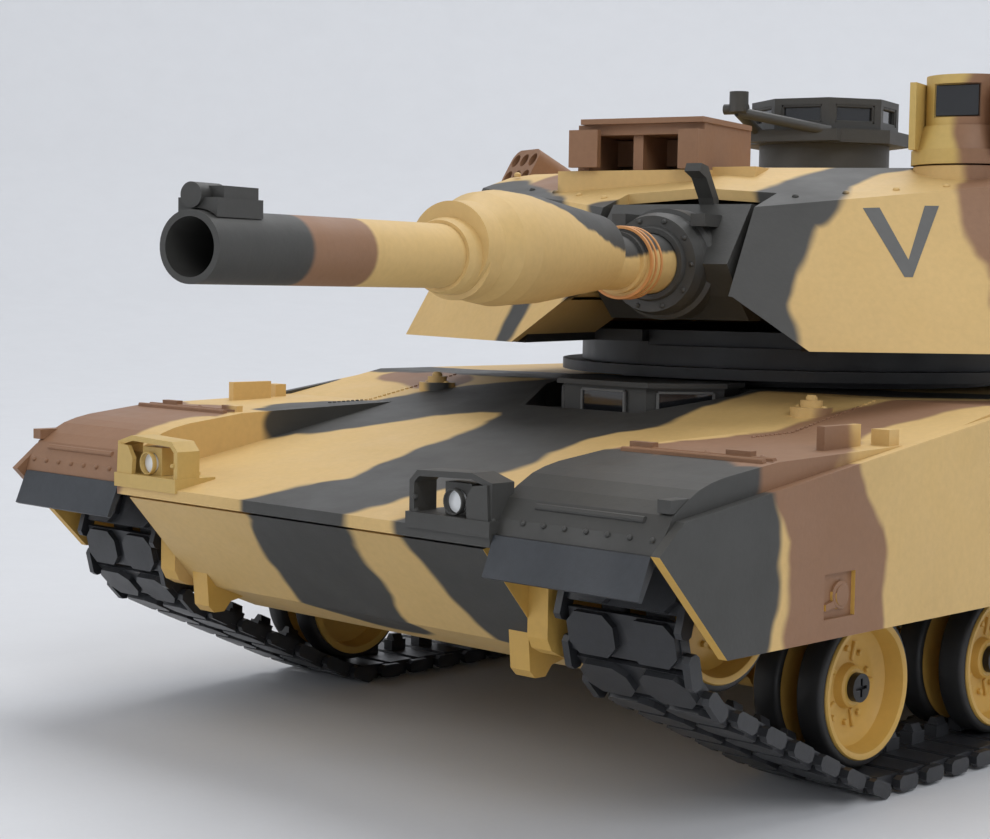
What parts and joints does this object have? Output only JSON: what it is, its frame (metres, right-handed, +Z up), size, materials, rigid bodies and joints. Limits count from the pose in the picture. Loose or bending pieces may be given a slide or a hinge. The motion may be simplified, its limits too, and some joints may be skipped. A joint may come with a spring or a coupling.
{
  "type": "radio-controlled battle tank",
  "caption": "Radio-controlled model battle tank with tracked running gear, a traversing turret, an elevating gun, and opening hatches, in a desert pattern.",
  "frame": {"origin": "on the ground, in the middle of the model's overall length and width as it stands with its turret partly turned", "axes": "+Z up, the hull's front faces -Y, the vehicle's left side faces +X"},
  "size_m": [0.1524, 0.3906, 0.1197],
  "materials": {
    "camo_plastic": "sprayed three-colour pattern, matt",
    "sand_plastic": "bare moulded, satin",
    "dark_plastic": "sprayed dark grey, matt",
    "black_plastic": "moulded black, satin",
    "rubber": "matt",
    "lens": "clear over white, polished",
    "black_steel": "black oxide",
    "motor_steel": "plated",
    "gear_nylon": "natural nylon",
    "circuit": "solder mask",
    "cell_wrap": "shrink wrap"
  },
  "bodies": {
    "hull": {"lower_hull": "camo_plastic", "upper_hull": "camo_plastic", "side_skirt_left": "camo_plastic", "side_skirt_right": "camo_plastic", "mud_flaps": "rubber", "headlight_guards": "camo_plastic", "headlight_lamps": "camo_plastic", "headlight_lenses": "lens", "driver_hatch": "camo_plastic", "driver_periscopes": "dark_plastic", "tow_hooks": "sand_plastic", "tail_lights": "dark_plastic", "screws": "black_steel", "battery_pack": "cell_wrap", "battery_door": "sand_plastic", "circuit_board": "circuit", "gearbox_housings": "black_plastic", "drive_motors": "motor_steel", "suspension_arms": "sand_plastic", "track_left": "black_plastic", "track_right": "black_plastic", "traverse_motor": "motor_steel", "deck_fittings": "camo_plastic"},
    "turret": {"turret_shell": "camo_plastic", "turret_base": "black_plastic", "sight_housing": "camo_plastic", "sight_doors": "camo_plastic", "smoke_launchers": "camo_plastic", "bustle_rack": "camo_plastic", "roof_fittings": "camo_plastic", "elevation_unit": "black_plastic"},
    "gun": {"gun_shield": "dark_plastic", "gun_barrel": "camo_plastic", "breech_unit": "black_plastic"},
    "panoramic_sight": {"citv_head": "camo_plastic"},
    "cupola": {"cupola": "dark_plastic"},
    "commander_hatch": {"commander_hatch": "dark_plastic"},
    "loader_hatch": {"loader_hatch": "camo_plastic"},
    "power_switch": {"power_switch": "black_plastic"},
    "traverse_pinion": {"traverse_pinion": "gear_nylon"},
    "sprocket_left": {"sprocket_left": "sand_plastic"},
    "idler_left": {"idler_left": "sand_plastic"},
    "road_wheel_left_1": {"road_wheel_left_1": "sand_plastic"},
    "road_wheel_left_2": {"road_wheel_left_2": "sand_plastic"},
    "road_wheel_left_3": {"road_wheel_left_3": "sand_plastic"},
    "road_wheel_left_4": {"road_wheel_left_4": "sand_plastic"},
    "road_wheel_left_5": {"road_wheel_left_5": "sand_plastic"},
    "road_wheel_left_6": {"road_wheel_left_6": "sand_plastic"},
    "road_wheel_left_7": {"road_wheel_left_7": "sand_plastic"},
    "motor_pinion_left": {"motor_pinion_left": "gear_nylon"},
    "sprocket_right": {"sprocket_right": "sand_plastic"},
    "idler_right": {"idler_right": "sand_plastic"},
    "road_wheel_right_1": {"road_wheel_right_1": "sand_plastic"},
    "road_wheel_right_2": {"road_wheel_right_2": "sand_plastic"},
    "road_wheel_right_3": {"road_wheel_right_3": "sand_plastic"},
    "road_wheel_right_4": {"road_wheel_right_4": "sand_plastic"},
    "road_wheel_right_5": {"road_wheel_right_5": "sand_plastic"},
    "road_wheel_right_6": {"road_wheel_right_6": "sand_plastic"},
    "road_wheel_right_7": {"road_wheel_right_7": "sand_plastic"},
    "motor_pinion_right": {"motor_pinion_right": "gear_nylon"}
  },
  "joints": [
    {"name": "turret_traverse", "type": "hinge", "parent": "hull", "child": "turret", "pos_m": [0, 0.00432, 0.0016], "axis": [0, 0, 1], "range_deg": [-165.2, 134.8]},
    {"name": "gun_elevation", "type": "hinge", "parent": "turret", "child": "gun", "pos_m": [0.01311, -0.04394, 0.0826], "axis": [-0.965, -0.2622, 0], "range_deg": [-4, 12]},
    {"name": "panoramic_sight_spin", "type": "hinge", "parent": "turret", "child": "panoramic_sight", "pos_m": [0.04634, -0.01366, 0.1016], "axis": [0, 0, 1], "continuous": true},
    {"name": "cupola_turn", "type": "hinge", "parent": "turret", "child": "cupola", "pos_m": [-0.01383, 0.02854, 0.1016], "axis": [0, 0, 1], "continuous": true},
    {"name": "commander_hatch_hinge", "type": "hinge", "parent": "cupola", "child": "commander_hatch", "pos_m": [-0.01669, 0.03905, 0.1187], "axis": [-0.965, -0.2622, 0], "range_deg": [0, 85]},
    {"name": "loader_hatch_hinge", "type": "hinge", "parent": "turret", "child": "loader_hatch", "pos_m": [0.0348, 0.0345, 0.1031], "axis": [-0.2622, 0.965, 0], "range_deg": [0, 100]},
    {"name": "power_switch_slide", "type": "slide", "parent": "hull", "child": "power_switch", "axis": [0, 1, 0], "range_m": [0, 0.003]},
    {"name": "traverse_pinion_spin", "type": "hinge", "parent": "hull", "child": "traverse_pinion", "pos_m": [0, 0.05172, 0.0516], "axis": [0, 0, 1], "range_deg": [-809.8, 992.2]},
    {"name": "sprocket_left_spin", "type": "hinge", "parent": "hull", "child": "sprocket_left", "pos_m": [0.0597, 0.14032, 0.0331], "axis": [1, 0, 0], "continuous": true},
    {"name": "idler_left_spin", "type": "hinge", "parent": "hull", "child": "idler_left", "pos_m": [0.0597, -0.10798, 0.0332], "axis": [1, 0, 0], "continuous": true},
    {"name": "road_wheel_left_1_spin", "type": "hinge", "parent": "hull", "child": "road_wheel_left_1", "pos_m": [0.0597, -0.07118, 0.01625], "axis": [1, 0, 0], "continuous": true},
    {"name": "road_wheel_left_2_spin", "type": "hinge", "parent": "hull", "child": "road_wheel_left_2", "pos_m": [0.0597, -0.03018, 0.0155], "axis": [1, 0, 0], "continuous": true},
    {"name": "road_wheel_left_3_spin", "type": "hinge", "parent": "hull", "child": "road_wheel_left_3", "pos_m": [0.0597, -0.00078, 0.0155], "axis": [1, 0, 0], "continuous": true},
    {"name": "road_wheel_left_4_spin", "type": "hinge", "parent": "hull", "child": "road_wheel_left_4", "pos_m": [0.0597, 0.02862, 0.0155], "axis": [1, 0, 0], "continuous": true},
    {"name": "road_wheel_left_5_spin", "type": "hinge", "parent": "hull", "child": "road_wheel_left_5", "pos_m": [0.0597, 0.05802, 0.0155], "axis": [1, 0, 0], "continuous": true},
    {"name": "road_wheel_left_6_spin", "type": "hinge", "parent": "hull", "child": "road_wheel_left_6", "pos_m": [0.0597, 0.08742, 0.0155], "axis": [1, 0, 0], "continuous": true},
    {"name": "road_wheel_left_7_spin", "type": "hinge", "parent": "hull", "child": "road_wheel_left_7", "pos_m": [0.0597, 0.11682, 0.01625], "axis": [1, 0, 0], "continuous": true},
    {"name": "motor_pinion_left_spin", "type": "hinge", "parent": "hull", "child": "motor_pinion_left", "pos_m": [0.0597, 0.12782, 0.0331], "axis": [1, 0, 0], "continuous": true},
    {"name": "sprocket_right_spin", "type": "hinge", "parent": "hull", "child": "sprocket_right", "pos_m": [-0.0597, 0.14032, 0.0331], "axis": [1, 0, 0], "continuous": true},
    {"name": "idler_right_spin", "type": "hinge", "parent": "hull", "child": "idler_right", "pos_m": [-0.0597, -0.10798, 0.0332], "axis": [1, 0, 0], "continuous": true},
    {"name": "road_wheel_right_1_spin", "type": "hinge", "parent": "hull", "child": "road_wheel_right_1", "pos_m": [-0.0597, -0.07118, 0.01625], "axis": [1, 0, 0], "continuous": true},
    {"name": "road_wheel_right_2_spin", "type": "hinge", "parent": "hull", "child": "road_wheel_right_2", "pos_m": [-0.0597, -0.03018, 0.0155], "axis": [1, 0, 0], "continuous": true},
    {"name": "road_wheel_right_3_spin", "type": "hinge", "parent": "hull", "child": "road_wheel_right_3", "pos_m": [-0.0597, -0.00078, 0.0155], "axis": [1, 0, 0], "continuous": true},
    {"name": "road_wheel_right_4_spin", "type": "hinge", "parent": "hull", "child": "road_wheel_right_4", "pos_m": [-0.0597, 0.02862, 0.0155], "axis": [1, 0, 0], "continuous": true},
    {"name": "road_wheel_right_5_spin", "type": "hinge", "parent": "hull", "child": "road_wheel_right_5", "pos_m": [-0.0597, 0.05802, 0.0155], "axis": [1, 0, 0], "continuous": true},
    {"name": "road_wheel_right_6_spin", "type": "hinge", "parent": "hull", "child": "road_wheel_right_6", "pos_m": [-0.0597, 0.08742, 0.0155], "axis": [1, 0, 0], "continuous": true},
    {"name": "road_wheel_right_7_spin", "type": "hinge", "parent": "hull", "child": "road_wheel_right_7", "pos_m": [-0.0597, 0.11682, 0.01625], "axis": [1, 0, 0], "continuous": true},
    {"name": "motor_pinion_right_spin", "type": "hinge", "parent": "hull", "child": "motor_pinion_right", "pos_m": [-0.0597, 0.12782, 0.0331], "axis": [1, 0, 0], "continuous": true}
  ],
  "couplings": [
    {"joint": "traverse_pinion_spin", "follows": "turret_traverse", "ratio": -6},
    {"joint": "idler_left_spin", "follows": "sprocket_left_spin", "ratio": 1},
    {"joint": "road_wheel_left_1_spin", "follows": "sprocket_left_spin", "ratio": 1.184},
    {"joint": "road_wheel_left_2_spin", "follows": "sprocket_left_spin", "ratio": 1.184},
    {"joint": "road_wheel_left_3_spin", "follows": "sprocket_left_spin", "ratio": 1.184},
    {"joint": "road_wheel_left_4_spin", "follows": "sprocket_left_spin", "ratio": 1.184},
    {"joint": "road_wheel_left_5_spin", "follows": "sprocket_left_spin", "ratio": 1.184},
    {"joint": "road_wheel_left_6_spin", "follows": "sprocket_left_spin", "ratio": 1.184},
    {"joint": "road_wheel_left_7_spin", "follows": "sprocket_left_spin", "ratio": 1.184},
    {"joint": "motor_pinion_left_spin", "follows": "sprocket_left_spin", "ratio": -2.4444},
    {"joint": "idler_right_spin", "follows": "sprocket_right_spin", "ratio": 1},
    {"joint": "road_wheel_right_1_spin", "follows": "sprocket_right_spin", "ratio": 1.184},
    {"joint": "road_wheel_right_2_spin", "follows": "sprocket_right_spin", "ratio": 1.184},
    {"joint": "road_wheel_right_3_spin", "follows": "sprocket_right_spin", "ratio": 1.184},
    {"joint": "road_wheel_right_4_spin", "follows": "sprocket_right_spin", "ratio": 1.184},
    {"joint": "road_wheel_right_5_spin", "follows": "sprocket_right_spin", "ratio": 1.184},
    {"joint": "road_wheel_right_6_spin", "follows": "sprocket_right_spin", "ratio": 1.184},
    {"joint": "road_wheel_right_7_spin", "follows": "sprocket_right_spin", "ratio": 1.184},
    {"joint": "motor_pinion_right_spin", "follows": "sprocket_right_spin", "ratio": -2.4444}
  ]
}
